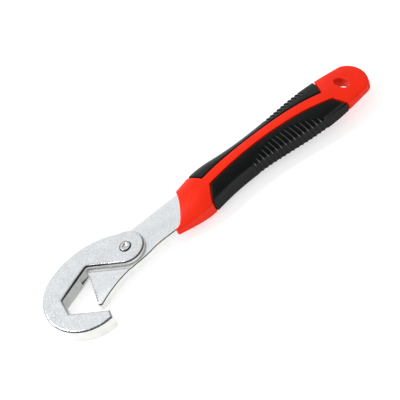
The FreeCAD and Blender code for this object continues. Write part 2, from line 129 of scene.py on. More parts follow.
def place(points):
    """Millimetres about the rivet to metres in the part's frame."""
    return np.asarray(points) * MM + PIVOT


def natural_spline(xs, ys):
    """The smooth curve through the stations, with no bend at its ends."""
    xs = np.array(xs, float)
    ys = np.array(ys, float)
    steps = np.diff(xs)
    size = len(xs)
    matrix = np.eye(size)
    right = np.zeros(size)
    for i in range(1, size - 1):
        matrix[i, i - 1:i + 2] = steps[i - 1], 2 * (steps[i - 1] + steps[i]), steps[i]
        right[i] = 6 * ((ys[i + 1] - ys[i]) / steps[i] - (ys[i] - ys[i - 1]) / steps[i - 1])
    bends = np.linalg.solve(matrix, right)

    def value(x):
        x = np.clip(x, xs[0], xs[-1])
        i = np.clip(np.searchsorted(xs, x) - 1, 0, size - 2)
        a = (xs[i + 1] - x) / steps[i]
        b = 1 - a
        return (a * ys[i] + b * ys[i + 1]
                + ((a ** 3 - a) * bends[i] + (b ** 3 - b) * bends[i + 1]) * steps[i] ** 2 / 6)

    return value


STATION_X = [station[0] for station in GRIP_STATIONS]
STATION_CURVES = [natural_spline(STATION_X, [station[k] for station in GRIP_STATIONS]) for k in range(1, 5)]


def section(x, arc):
    """The grip's surface at x, an arc length from the crown's middle.

    Gives y, z, the outward normal's y and z, half the perimeter, and the crown's radius.
    """
    low, high, thick, side = (curve(x) for curve in STATION_CURVES)
    corner = CORNER_SHARE * (thick - side)
    chord = (high - low) / 2 - corner
    sagitta = thick - corner - side
    inner = (chord ** 2 + sagitta ** 2) / (2 * sagitta)
    centre = thick - corner - inner
    lean = np.arctan2(chord, side - centre)
    radius = inner + corner
    crown = radius * lean
    bend = corner * (np.pi / 2 - lean)
    reach = np.abs(arc)
    on_crown = reach <= crown
    angle = np.where(on_crown, reach / radius, np.minimum(lean + (reach - crown) / corner, np.pi / 2))
    y = np.where(on_crown, radius * np.sin(angle), chord + corner * np.sin(angle))
    z = np.where(on_crown, centre + radius * np.cos(angle), side + corner * np.cos(angle))
    z = z - np.maximum(reach - crown - bend, 0)
    turn = np.where(arc < 0, -1.0, 1.0)
    return (low + high) / 2 + turn * y, z, turn * np.sin(angle), np.cos(angle), crown + bend + side, radius


def arc_edge(x, edge):
    """y of an arched stripe edge at x, held level beyond its ends."""
    (x0, y0), (x1, y1), rise = edge
    x = np.clip(x, x0, x1)
    share = (x - x0) / (x1 - x0)
    half = (x1 - x0) / 2
    radius = (half ** 2 + rise ** 2) / (2 * rise)
    bulge = np.sqrt(radius ** 2 - (half * (2 * share - 1)) ** 2) - (radius - rise)
    return y0 + share * (y1 - y0) + bulge


def stripe_arc(x, edge):
    """The arc length from the crown's middle to a stripe edge."""
    low, high = STATION_CURVES[0](x), STATION_CURVES[1](x)
    radius = section(x, np.zeros_like(x))[5]
    return radius * np.arcsin(np.clip((arc_edge(x, edge) - (low + high) / 2) / radius, -0.95, 0.95))


def pad_end(share, side_x, edge_x):
    """x of a pad's end: straight on the grip's side, slanting over the crown to the stripe's edge."""
    over = np.clip((share - SIDE_SHARE) / (1 - SIDE_SHARE), 0, 1)
    return side_x + (edge_x - side_x) * over ** 1.25


class Column:
    """One line along the grip.

    zone is 'stripe', 'upper' or 'lower'.  near is a distance in from the zone's edge, and share is the part
    of the rest, to the far edge (stripe) or to the side's middle (pads).  face is +1 above and -1 below.
    """

    def __init__(self, zone, near, share, face):
        self.zone = zone
        self.near = near
        self.share = share
        self.face = face

    def locate(self, x):
        """Arc position, and signed distance into the pad across the grip."""
        upper = stripe_arc(x, UPPER_EDGE)
        lower = stripe_arc(x, LOWER_EDGE)
        half = section(x, np.zeros_like(x))[4]
        if self.zone == "stripe":
            width = upper - lower
            inside = self.near + self.share * (width - 2 * self.near) if self.near >= 0 else width + self.near
            return lower + inside, -np.minimum(inside, width - inside)
        if self.zone == "upper":
            inside = self.near + self.share * (half - upper - self.near)
            return upper + inside, inside
        inside = self.near + self.share * (half + lower - self.near)
        return lower - inside, inside

    def ends(self):
        """x of the pad zone's front and rear on this line."""
        fronts = LOWER_EDGE[0][0], UPPER_EDGE[0][0]
        rears = LOWER_EDGE[1][0], UPPER_EDGE[1][0]
        if self.zone == "stripe":
            mix = self.share if self.near >= 0 else 1.0
            return (fronts[0] + mix * (fronts[1] - fronts[0]), rears[0] + mix * (rears[1] - rears[0]))
        which = 1 if self.zone == "upper" else 0
        side = UPPER_SIDE_X if which else LOWER_SIDE_X
        over = 1 - self.share
        return (pad_end(over, side[0], fronts[which]), pad_end(over, side[1], rears[which]))


def pad_distance(x, front, rear, across):
    """Signed distance into the pad, with rounded corners."""
    along = np.minimum(x - front, rear - x)
    inside = np.minimum(along, across)
    gap_x = np.maximum(PAD_CORNER - along, 0)
    gap_y = np.maximum(PAD_CORNER - across, 0)
    rounded = PAD_CORNER - np.hypot(gap_x, gap_y)
    outside = -np.hypot(np.minimum(along, 0), np.minimum(across, 0))
    return np.where((along > 0) & (across > 0), np.minimum(inside, rounded), outside)


def quarter(distance, radius):
    """How far a rounded edge falls away at a distance in from its rim."""
    return radius - np.sqrt(np.maximum(radius ** 2 - np.maximum(radius - distance, 0) ** 2, 0))


def surface(x, arc, face, lift):
    """Points on the grip, moved out along the normal by lift."""
    y, z, ny, nz = section(x, arc)[:4]
    return np.stack([x, y + lift * ny, face * (z + lift * nz)], axis=-1)


def mesh_object(name, points, faces, smooth_angle=35.0, rib_painted_light=None):
    """A smooth-shaded piece. The rib light, where given, marks each point, from a valley's painted shade (-1)
    to a crest's painted highlight.
    """
    mesh = bpy.data.meshes.new(name)
    mesh.from_pydata([tuple(point) for point in place(points)], [], faces)
    if rib_painted_light is not None:
        mesh.attributes.new("rib_painted_light", "FLOAT", "POINT").data.foreach_set("value", rib_painted_light)
    bm = bmesh.new()
    bm.from_mesh(mesh)
    bmesh.ops.remove_doubles(bm, verts=bm.verts, dist=0.002 * MM)
    bmesh.ops.recalc_face_normals(bm, faces=bm.faces)
    bm.to_mesh(mesh)
    bm.free()
    mesh.polygons.foreach_set("use_smooth", [True] * len(mesh.polygons))
    mesh.set_sharp_from_angle(angle=math.radians(smooth_angle))
    piece = bpy.data.objects.new(name, mesh)
    bpy.context.scene.collection.objects.link(piece)
    return piece


def grid_faces(rows, columns, closed, start=0, flip=False):
    """Four-sided faces between rows of points, which close on themselves where closed is true."""
    faces = []
    for r in range(rows - 1):
        for c in range(columns if closed else columns - 1):
            d = (c + 1) % columns
            quad = (start + r * columns + c, start + r * columns + d,
                    start + (r + 1) * columns + d, start + (r + 1) * columns + c)
            faces.append(quad[::-1] if flip else quad)
    return faces


# ---- red body ---------------------------------------------------------------------------------------------
LIP_STEPS = (0.0, 0.04, 0.12, 0.24, LIP, 0.7)    # rows from a pad's seat out over the red lip
SEAT_STEPS = (0.02, 0.5, 1.2)                    # and in from it under the pad
STRIPE_LINES = 12
SEAT_LINES = 26
COLLAR_ROWS = 26
SEAT_ROWS = 90
TAIL_ROWS = 36
FRONT_SEARCH = (29.0, 48.0)      # x between which a line meets the collar's front
TAIL_SEARCH = (170.0, 187.0)     # and the tail's end
MOUTH_DEPTH = 5.0                # of the pocket where the plate enters the collar
MOUTH_MIDDLE = (50.0, -0.5, 0.0)


def three_point_circle(a, b, c):
    """Middle and radius of the circle through three points."""
    ax, ay = a
    bx, by = b
    cx, cy = c
    d = 2 * (ax * (by - cy) + bx * (cy - ay) + cx * (ay - by))
    a2 = ax * ax + ay * ay
    b2 = bx * bx + by * by
    c2 = cx * cx + cy * cy
    ux = (a2 * (by - cy) + b2 * (cy - ay) + c2 * (ay - by)) / d
    uy = (a2 * (cx - bx) + b2 * (ax - cx) + c2 * (bx - ax)) / d
    return ux, uy, math.hypot(ax - ux, ay - uy)


FRONT_SHOULDER = (46.0, 10.6)
FRONT_MIDDLE = (42.2, -0.8)
FRONT_TOE = (34.6, -10.9)
FRONT_FOOT = (30.6, -12.1)
TAIL_ARCS = (
    ((173.0, 14.0), (181.6, 8.6), (186.3, -2.0)),
    ((186.3, -2.0), (185.9, -6.8), (184.2, -11.2)),
    ((184.2, -11.2), (182.6, -13.6), (179.5, -15.4)),
)


def front_x(y):
    """x of the collar's slanted, hollow front edge at y."""
    ux, uy, radius = three_point_circle(FRONT_SHOULDER, FRONT_MIDDLE, FRONT_TOE)
    side = 1.0 if FRONT_MIDDLE[0] > ux else -1.0
    curve = ux + side * np.sqrt(np.maximum(radius ** 2 - (y - uy) ** 2, 0))
    slope = (FRONT_TOE[0] - FRONT_FOOT[0]) / (FRONT_TOE[1] - FRONT_FOOT[1])
    foot = FRONT_TOE[0] + (y - FRONT_TOE[1]) * slope
    x = np.where(y < FRONT_TOE[1], np.maximum(foot, FRONT_FOOT[0]), curve)
    return np.where(y > FRONT_SHOULDER[1], FRONT_SHOULDER[0], x)


def tail_x(y):
    """x of the rounded tail's end at y."""
    x = np.full_like(y, TAIL_ARCS[2][2][0])
    for start, middle, end in TAIL_ARCS:
        ux, uy, radius = three_point_circle(start, middle, end)
        here = ux + np.sqrt(np.maximum(radius ** 2 - (y - uy) ** 2, 0))
        x = np.where((y <= start[1]) & (y >= end[1]), here, x)
    return x


def meet(column, curve, low, high):
    """x where a line along the grip meets an outline given as x(y)."""
    x = np.linspace(low, high, 240)
    y = section(x, column.locate(x)[0])[0]
    ahead = x - curve(y)
    i = int(np.argmax(ahead > 0))
    share = ahead[i - 1] / (ahead[i - 1] - ahead[i])
    return float(x[i - 1] + share * (x[i] - x[i - 1]))


def body_columns():
    """The lines along the grip, once round it: stripe, pad, pad below, stripe below and back."""
    def stripe(face):
        edge = [Column("stripe", step, 0.0, face) for step in LIP_STEPS]
        far = [Column("stripe", -step - 1e-6, 0.0, face) for step in reversed(LIP_STEPS)]
        shares = np.linspace(0, 1, STRIPE_LINES)[1:-1]
        middle = [Column("stripe", LIP_STEPS[-1], share, face) for share in shares]
        return edge + middle + far

    def pad(zone, face):
        seat = [Column(zone, step, 0.0, face) for step in SEAT_STEPS]
        shares = np.linspace(0, 1, SEAT_LINES)[1:]
        return seat + [Column(zone, SEAT_STEPS[-1], share, face) for share in shares]

    ring = stripe(1) + pad("upper", 1) + pad("upper", -1)[:-1][::-1]
    ring += stripe(-1)[::-1] + pad("lower", -1) + pad("lower", 1)[:-1][::-1]
    return ring


def body_rows(column):
    """x of each row on a line: collar, seat under the pads, and tail."""
    first = meet(column, front_x, *FRONT_SEARCH)
    last = meet(column, tail_x, *TAIL_SEARCH)
    front, rear = column.ends()
    rise = [first + FRONT_EDGE * (1 - math.cos(angle)) for angle in np.linspace(0, np.pi / 2, 6)]
    collar = list(np.linspace(rise[-1], front - LIP_STEPS[-1], COLLAR_ROWS)[1:-1])
    lip_in = [front - step for step in reversed(LIP_STEPS)]
    seat_in = [front + step for step in SEAT_STEPS]
    seat = list(np.linspace(front + SEAT_STEPS[-1], rear - SEAT_STEPS[-1], SEAT_ROWS)[1:-1])
    seat_out = [rear - step for step in reversed(SEAT_STEPS)]
    lip_out = [rear + step for step in LIP_STEPS]
    fall = [last - TAIL_EDGE * (1 - math.sin(angle)) for angle in np.linspace(0, np.pi / 2, 9)]
    tail = list(np.linspace(lip_out[-1], fall[0], TAIL_ROWS)[1:-1])
    return np.array(rise + collar + lip_in + seat_in + seat + seat_out + lip_out + tail + fall)


def make_body():
    """The red moulding's outside, with the pads' seats and the mouth for the plate, and the hanging hole."""
    columns = body_columns()
    lines = []
    for column in columns:
        x = body_rows(column)
        arc, across = column.locate(x)
        front, rear = column.ends()
        depth = pad_distance(x, front, rear, across)
        lift = np.where(depth > 0, -RECESS, -quarter(-np.minimum(depth, 0), LIP))
        lift = lift - quarter(x - x[0], FRONT_EDGE) - quarter(x[-1] - x, TAIL_EDGE)
        line = surface(x, arc, column.face, lift)
        # the front wall down to the plate, and the end wall down to the middle plane
        rim = line[0].copy()
        mouth = rim.copy()
        mouth[1] = np.clip(rim[1], BAR_BOTTOM, BAR_TOP)
        mouth[2] = np.clip(rim[2], -BAR_HALF, BAR_HALF)
        inside = mouth.copy()
        inside[0] += MOUTH_DEPTH
        middle = np.array([MOUTH_MIDDLE])
        end = line[-1].copy()
        end[2] = 0.0
        lines.append(np.concatenate([middle, [inside], [mouth], line, [end]]))
    points = np.stack(lines, axis=1)
    rows, count = points.shape[:2]
    faces = grid_faces(rows, count, True)
    piece = mesh_object("grip_body_shell", points.reshape(-1, 3), faces)
    drill_hang_hole(piece)
    return piece


def crown_height(x, y):
    """The grip's half thickness at a point seen from above."""
    low, high, thick, side = (curve(x) for curve in STATION_CURVES)
    corner = CORNER_SHARE * (thick - side)
    chord = (high - low) / 2 - corner
    sagitta = thick - corner - side
    radius = (chord ** 2 + sagitta ** 2) / (2 * sagitta) + corner
    return thick - radius + np.sqrt(radius ** 2 - (y - (low + high) / 2) ** 2)


def drill_hang_hole(piece):
    """An oval hole through the tail, rounded over into both faces."""
    turns = np.linspace(0, 2 * np.pi, HANG_SIDES, endpoint=False)
    lean = np.array([[math.cos(HANG_TILT), math.sin(HANG_TILT)], [-math.sin(HANG_TILT), math.cos(HANG_TILT)]])

    def ring(grow, z_side, drop, level=None):
        along, across = HANG_HALF[0] + grow, HANG_HALF[1] + grow
        oval = np.stack([along * np.cos(turns), across * np.sin(turns)], axis=-1)
        flat = oval @ lean + np.array(HANG_HOLE)
        height = crown_height(flat[:, 0], flat[:, 1]) - drop
        if level is not None:
            height = np.full_like(height, level)
        return np.column_stack([flat, z_side * height])

    bends = np.linspace(0, np.pi / 2, 8)
    upper = [ring(HANG_ROUND * (1 - math.cos(bend)), 1, HANG_ROUND * (1 - math.sin(bend))) for bend in bends]
    lower = [ring(HANG_ROUND * (1 - math.cos(bend)), -1, HANG_ROUND * (1 - math.sin(bend))) for bend in bends]
    upper.append(ring(HANG_ROUND + 0.3, 1, 0.0, HANG_PAST))
    lower.append(ring(HANG_ROUND + 0.3, -1, 0.0, HANG_PAST))
    rings = upper[::-1] + lower
    faces = grid_faces(len(rings), HANG_SIDES, True)
    faces.append(tuple(range(HANG_SIDES)))
    faces.append(tuple(range((len(rings) - 1) * HANG_SIDES, len(rings) * HANG_SIDES))[::-1])
    cutter = mesh_object("hang_hole_cutter", np.concatenate(rings), faces)
    cut = piece.modifiers.new("hang_hole", "BOOLEAN")
    cut.operation = "DIFFERENCE"
    cut.solver = "EXACT"
    cut.object = cutter
    bake_modifiers(piece)
    bpy.data.objects.remove(cutter)
    piece.data.polygons.foreach_set("use_smooth", [True] * len(piece.data.polygons))
    piece.data.set_sharp_from_angle(angle=math.radians(35))


def bake_modifiers(piece):
    """Replaces a piece's mesh by what its modifiers make of it."""
    bpy.context.view_layer.update()
    graph = bpy.context.evaluated_depsgraph_get()
    mesh = bpy.data.meshes.new_from_object(piece.evaluated_get(graph))
    piece.modifiers.clear()
    piece.data = mesh


# ---- black pads -------------------------------------------------------------------------------------------
RIB_PITCH_LOWER = 3.25
RIB_PITCH_UPPER = 3.0
LOWER_RIBS = (90.5, 147.0)
UPPER_RIBS = (116.0, 146.5)
CREST_HALF = 0.50          # half width of a rib's crest
RIB_DEPTH = 1.15           # of the lower pad's valleys
RIB_PROUD = 0.08           # how far the crests stand over the plain rubber
NOTCH_DEPTH = 1.80         # of the upper pad's valleys
NOTCH_SHARE = 0.60         # of the pitch, across one of them
RIDGE = 5.0                # from the side's middle to the ridge over it
RIDGE_HALF = 0.9           # half width of the painted highlight on the ridge
CREST_PAINTED_HIGHLIGHT = 0.45         # painted highlight of a crest on the crown, where it is 1 on the ridge
SIDE_HIGHLIGHT_DROP = 0.38           # how much less painted highlight a crest has on the side
RIDGE_PAINTED_HIGHLIGHT = 0.10         # painted highlight on the ridge where it has no ribs
RIB_FIELD = (120.0, 28.0, 8.4)      # the lower ribs' widest place, half length and reach over the ridge
RIB_LEAN = 0.11            # how the lower ribs lean to the tail on their way down
RIB_CURL = 0.011           # how their inner ends curve to the head
NOTCH_REACH = 5.6          # of the upper pad's notches over the ridge
NOTCH_SLANT = 0.45
PAD_STEP_ALONG = 0.23
PAD_STEPS_ACROSS = 46
RIM_ANGLES = (0.45, 0.75, 1.05, 1.3)    # of the rows that draw the rim's rounding


def fade(value, width):
    """0 below 0, 1 above width, smooth between."""
    t = np.clip(value / width, 0, 1)
    return t * t * (3 - 2 * t)


def off_crest(along, pitch):
    """How far a place is from the nearest crest of a row of ribs."""
    return np.abs((along / pitch + 0.5) % 1.0 - 0.5) * pitch


def lower_ribs(x, from_side):
    """Fine curved ribs from the side over the ridge and on to the crown: height, and the painted highlight on
    the crests and painted shade in the valleys.
    """
    w = np.abs(from_side)
    middle, half, reach = RIB_FIELD
    over = w - RIDGE
    bow = -RIB_LEAN * over - RIB_CURL * np.maximum(over, 0) ** 2
    top = RIDGE + reach * np.maximum(1 - ((x - middle) / half) ** 2, 0)
    where = fade(top + 0.5 - w, 1.6) * fade(x - bow - LOWER_RIBS[0], 2.5) * fade(LOWER_RIBS[1] - x + bow, 2.5)
    crest = np.exp(-(off_crest(x - bow, RIB_PITCH_LOWER) / CREST_HALF) ** 2)
    # painted highlight on each crest, strongest on the ridge and weaker down the side, painted shade in the
    # valleys, and a painted highlight along the ridge beyond the ribs
    crest_highlight = CREST_PAINTED_HIGHLIGHT + (1 - CREST_PAINTED_HIGHLIGHT) * ridge_highlight_share(w) - SIDE_HIGHLIGHT_DROP * fade(-over, 2.5)
    mark = where * (crest * (1 + crest_highlight) - 1) + (1 - where) * RIDGE_PAINTED_HIGHLIGHT * ridge_highlight_share(w)
    return where * (crest * (RIB_DEPTH + RIB_PROUD) - RIB_DEPTH), mark


def ridge_highlight_share(w):
    """1 on the ridge, 0 away from it: where the ridge's painted highlight goes."""
    return np.exp(-((w - RIDGE) / RIDGE_HALF) ** 2)


def upper_ribs(x, from_side):
    """Short slanted notches across the far ridge: height, and the painted highlight between the notches and
    painted shade in them.
    """
    w = np.abs(from_side)
    along = x - NOTCH_SLANT * (w - RIDGE)
    ends = fade(along - UPPER_RIBS[0], 4.0) * fade(UPPER_RIBS[1] - along, 2.0)
    where = fade(RIDGE + NOTCH_REACH + 0.4 - w, 0.8) * ends
    half_crest = RIB_PITCH_UPPER * (1 - NOTCH_SHARE) / 2
    notch = fade(off_crest(along, RIB_PITCH_UPPER) - half_crest + 0.2, 0.4)
    # painted highlight between the notches and painted shade in them
    return -where * NOTCH_DEPTH * notch, where * (0.3 - 1.3 * notch)


def make_pad(name, zone, ribs):
    """A rubber pad: its ribbed upper side, its floor in the seat, and the walls between them."""
    rims = [PAD_GAP, PAD_GAP + 0.01]
    rims += [PAD_GAP + PAD_EDGE * (1 - math.cos(angle)) for angle in RIM_ANGLES]
    rims.append(PAD_GAP + PAD_EDGE)
    half = [Column(zone, step, 0.0, 1) for step in rims]
    half += [Column(zone, rims[-1], share, 1) for share in np.linspace(0, 1, PAD_STEPS_ACROSS)[1:]]
    other = [Column(zone, column.near, column.share, -1) for column in half[:-1][::-1]]
    lines = []
    floors = []
    marks = []
    for column in half + other:
        front, rear = column.ends()
        count = int((LOWER_SIDE_X[1] - LOWER_SIDE_X[0]) / PAD_STEP_ALONG)
        middle = np.linspace(front + rims[-1], rear - rims[-1], count)[1:-1]
        first = [front + step for step in rims]
        last = [rear - step for step in reversed(rims)]
        x = np.concatenate([first, middle, last])
        arc, across = column.locate(x)
        half_arc = section(x, arc)[4]
        depth = pad_distance(x, front, rear, across) - PAD_GAP
        rise, mark = ribs(x, column.face * (half_arc - np.abs(arc)))
        lift = np.where(depth > 0, rise * fade(depth, 2.0) - quarter(depth, PAD_EDGE), -RECESS + 0.05)
        # the ribs' painted highlight and painted shade, faded in from the pad's rim
        marks.append(mark * fade(depth, 2.0))
        lines.append(surface(x, arc, column.face, lift))
        floors.append(surface(x, arc, column.face, np.full_like(x, -RECESS + 0.02)))
    top = np.stack(lines, axis=1)
    floor = np.stack(floors, axis=1)
    rows, columns = top.shape[:2]
    size = rows * columns
    faces = grid_faces(rows, columns, False) + grid_faces(rows, columns, False, start=size, flip=True)
    border = list(range(columns))
    border += [r * columns + columns - 1 for r in range(1, rows)]
    border += [(rows - 1) * columns + c for c in range(columns - 2, -1, -1)]
    border += [r * columns for r in range(rows - 2, 0, -1)]
    for i, here in enumerate(border):
        there = border[(i + 1) % len(border)]
        faces.append((there, here, here + size, there + size))
    marks = np.stack(marks, axis=1).ravel()
    points = np.concatenate([top.reshape(-1, 3), floor.reshape(-1, 3)])
    piece = mesh_object(name, points, faces, 60.0, np.concatenate([marks, np.zeros(size)]))
    face_outwards(piece)
    return piece


def face_outwards(piece):
    """Turns a closed piece's faces round if they look inwards."""
    bm = bmesh.new()
    bm.from_mesh(piece.data)
    inside_out = bm.calc_volume(signed=True) < 0
    bm.free()
    if inside_out:
        piece.data.flip_normals()


# ---- steel ------------------------------------------------------------------------------------------------
def hook_rounding(x, y, height):
    """How far an edge of the hook is rounded."""
    if height > HOOK_FACE - FACE_NEAR:
        return FINE_ROUND if math.hypot(x, y) < SINK_RADIUS + 0.5 else FACE_ROUND
    return STEP_ROUND if height > STEP_HEIGHT else FINE_ROUND


def plate_rounding(x, y, height):
    """How far an edge of the plate is chamfered: less on the teeth."""
    if height < PLATE_FACE:
        return 0.0
    down = np.array(JAW_TIP) - JAW_TOP
    off = (x - JAW_TOP[0]) * down[1] - (y - JAW_TOP[1]) * down[0]
    along = (x - JAW_TOP[0]) * down[0] + (y - JAW_TOP[1]) * down[1]
    length = math.hypot(*down)
    on_teeth = abs(off) / length < TEETH_REACH and 0 < along / length < length
    return TEETH_ROUND if on_teeth else PLATE_CHAMFER


def sharp_edges(bm, rounding, radius):
    """Sharp edges that the rounding rule gives this radius."""
    chosen = []
    for edge in bm.edges:
        if len(edge.link_faces) == 2 and edge.calc_face_angle(0.0) > SHARP_FOLD:
            x, y, z = (np.array((edge.verts[0].co + edge.verts[1].co) / 2) - PIVOT) / MM
            if rounding(x, y, abs(z)) == radius:
                chosen.append(edge)
    return chosen


def refined(node, name, rounding, radii, steps):
    """A copy of a CAD node with its sharp edges rounded in so many steps, or chamfered in one."""
    mesh = frame["nodes"][node].data.copy()
    mesh.materials.clear()
    bm = bmesh.new()
    bm.from_mesh(mesh)
    bmesh.ops.remove_doubles(bm, verts=bm.verts, dist=0.001 * MM)
    bmesh.ops.dissolve_limit(bm, angle_limit=FLAT_FOLD, verts=bm.verts, edges=bm.edges)
    for vert in bm.verts:
        x, y, z = (np.array(vert.co) - PIVOT) / MM
        if abs(math.hypot(x, y) - SINK_RADIUS) < SINK_NEAR and abs(z) > HOOK_FACE - SINK_NEAR:
            vert.co.x = PIVOT[0] + x * MM * SINK_DRAWN / SINK_RADIUS
            vert.co.y = PIVOT[1] + y * MM * SINK_DRAWN / SINK_RADIUS
    for radius in radii:
        bmesh.ops.bevel(bm, geom=sharp_edges(bm, rounding, radius), offset=radius * MM, offset_type="OFFSET",
                        segments=steps, profile=0.5, affect="EDGES", clamp_overlap=False)
    bm.to_mesh(mesh)
    bm.free()
    mesh.polygons.foreach_set("use_smooth", [True] * len(mesh.polygons))
    mesh.set_sharp_from_angle(angle=SHADE_FOLD)
    piece = bpy.data.objects.new(name, mesh)
    bpy.context.scene.collection.objects.link(piece)
    weigh = piece.modifiers.new("flat_faces", "WEIGHTED_NORMAL")
    weigh.mode = "FACE_AREA"
    weigh.keep_sharp = True
    bake_modifiers(piece)
    return piece


def make_rivet():
    """The rivet, turned, with a three-lobed peening mark in each head."""
    turns = np.linspace(0, 2 * np.pi, RIVET_SIDES, endpoint=False)
    upper = []
    for radius, height in RIVET_PROFILE:
        lobe = PEEN_DEPTH * np.cos(PEEN_LOBES * turns) * math.exp(-((radius - PEEN_AT) / PEEN_WIDE) ** 2)
        upper.append(np.column_stack([radius * np.cos(turns), radius * np.sin(turns), height + lobe]))
    lower = [ring * (1, 1, -1) for ring in upper]
    rings = upper + lower[::-1]
    faces = grid_faces(len(rings), RIVET_SIDES, True)
    return mesh_object("pivot_pin_peened", np.concatenate(rings), faces)


# ---- materials --------------------------------------------------------------------------------------------
class Nodes:
    """A short way to write a material's node tree."""

    def __init__(self, name):
        self.material = bpy.data.materials.new(name)
        self.material.use_nodes = True
        self.tree = self.material.node_tree
        self.shader = self.tree.nodes["Principled BSDF"]
        self.place = self.add("ShaderNodeTexCoord").outputs["Object"]

    def add(self, kind, **settings):
        node = self.tree.nodes.new(kind)
        for key, value in settings.items():
            setattr(node, key, value)
        return node

    def link(self, source, target):
        self.tree.links.new(source, target)

    def noise(self, per_mm, detail=3.0, rough=0.5, stretch=None, seed=0.0):
        """Noise with so many features to the millimetre."""
        node = self.add("ShaderNodeTexNoise", noise_dimensions="4D")
        node.inputs["W"].default_value = seed
        node.inputs["Scale"].default_value = per_mm / MM
        node.inputs["Detail"].default_value = detail
        node.inputs["Roughness"].default_value = rough
        source = self.place
        if stretch:
            mapping = self.add("ShaderNodeMapping")
            mapping.inputs["Scale"].default_value = stretch
            self.link(source, mapping.inputs["Vector"])
            source = mapping.outputs["Vector"]
        self.link(source, node.inputs["Vector"])
        return node.outputs["Fac"]

    def cells(self, per_mm, feature="F1"):
        node = self.add("ShaderNodeTexVoronoi", feature=feature)
        node.inputs["Scale"].default_value = per_mm / MM
        self.link(self.place, node.inputs["Vector"])
        return node.outputs["Distance"]

    def remap(self, source, low, high, to_low, to_high):
        node = self.add("ShaderNodeMapRange")
        for key, value in zip(("From Min", "From Max", "To Min", "To Max"), (low, high, to_low, to_high)):
            node.inputs[key].default_value = value
        self.link(source, node.inputs["Value"])
        return node.outputs["Result"]

    def math(self, operation, a, b):
        node = self.add("ShaderNodeMath", operation=operation)
        for socket, value in zip(node.inputs, (a, b)):
            if isinstance(value, (int, float)):
                socket.default_value = value
            else:
                self.link(value, socket)
        return node.outputs["Value"]

    def mix(self, factor, a, b, blend="MIX"):
        node = self.add("ShaderNodeMix", data_type="RGBA", blend_type=blend)
        for socket, value in ((node.inputs[0], factor), (node.inputs[6], a), (node.inputs[7], b)):
            if isinstance(value, (int, float)):
                socket.default_value = value
            elif isinstance(value, tuple):
                socket.default_value = (*value, 1.0)
            else:
                self.link(value, socket)
        return node.outputs[2]

    def edges(self, low=0.52, high=0.62):
        """1 on convex edges, 0 elsewhere."""
        return self.remap(self.add("ShaderNodeNewGeometry").outputs["Pointiness"], low, high, 0.0, 1.0)

    def bump(self, height, depth_mm, strength=1.0):
        node = self.add("ShaderNodeBump")
        node.inputs["Strength"].default_value = strength
        node.inputs["Distance"].default_value = depth_mm * MM
        self.link(height, node.inputs["Height"])
        return node

    def soft_edges(self, width_mm):
        """Normals smoothed across edges."""
        node = self.add("ShaderNodeBevel", samples=6)
        node.inputs["Radius"].default_value = width_mm * MM
        return node

    def facing(self, normal, way):
        """How much a normal faces a fixed direction, from -1 to 1."""
        node = self.add("ShaderNodeVectorMath", operation="DOT_PRODUCT")
        self.link(normal, node.inputs[0])
        node.inputs[1].default_value = way
        return node.outputs["Value"]

    def distance(self, spot, scale=(1.0, 1.0, 1.0)):
        """How far a place is from a spot, in millimetres."""
        squeeze = self.add("ShaderNodeVectorMath", operation="MULTIPLY")
        self.link(self.place, squeeze.inputs[0])
        squeeze.inputs[1].default_value = scale
        away = self.add("ShaderNodeVectorMath", operation="DISTANCE")
        self.link(squeeze.outputs["Vector"], away.inputs[0])
        away.inputs[1].default_value = Vector(spot) * Vector(scale)
        return self.math("MULTIPLY", away.outputs["Value"], 1 / MM)

    def ring(self, inner, outer):
        """1 between two radii round the rivet's axis."""
        radius = self.distance(PIVOT, (1.0, 1.0, 0.0))
        rise = self.remap(radius, inner - SEAM_SHADE_SOFT, inner + SEAM_SHADE_SOFT, 0.0, 1.0)
        fall = self.remap(radius, outer - SEAM_SHADE_SOFT, outer + SEAM_SHADE_SOFT, 1.0, 0.0)
        return self.math("MULTIPLY", rise, fall)

    def chain(self, *bumps):
        for first, second in zip(bumps, bumps[1:]):
            self.link(first.outputs["Normal"], second.inputs["Normal"])
        self.link(bumps[-1].outputs["Normal"], self.shader.inputs["Normal"])

    def set(self, **values):
        for key, value in values.items():
            socket = self.shader.inputs[key.replace("_", " ")]
            if isinstance(value, (int, float)):
                socket.default_value = value
            elif isinstance(value, tuple):
                socket.default_value = (*value, 1.0)
            else:
                self.link(value, socket)


# painted dark reflection on the working edges: middle, full and least distance from it, the way that the
# darkened edges face, and how wide the darkening is
HOOK_EDGE_DARK_REFLECTION = ((-33.0, 6.0, 5.5), 14.0, 22.0, (0.0, -1.0, 0.0), 3.2)
JAW_EDGE_DARK_REFLECTION = ((-36.0, -18.0, 3.1), 6.5, 10.0, (-0.75, -0.66, 0.0), 1.3)
# the colour of the painted dark reflection on the working edges, and of the painted shade round the rivet's
# head
PAINTED_DARK = (0.055, 0.060, 0.060)
MOUTH_WALL_SHADE = ((-45.0, 3.0, 0.0), 12.0, 21.0)     # where painted shade darkens the sawn walls in the mouth
SEAM_SHADE_RING = (3.42, 3.98)   # radii of the painted shade in the seam round the rivet's head
SEAM_SHADE_SOFT = 0.08           # how soft that painted shade's edges are
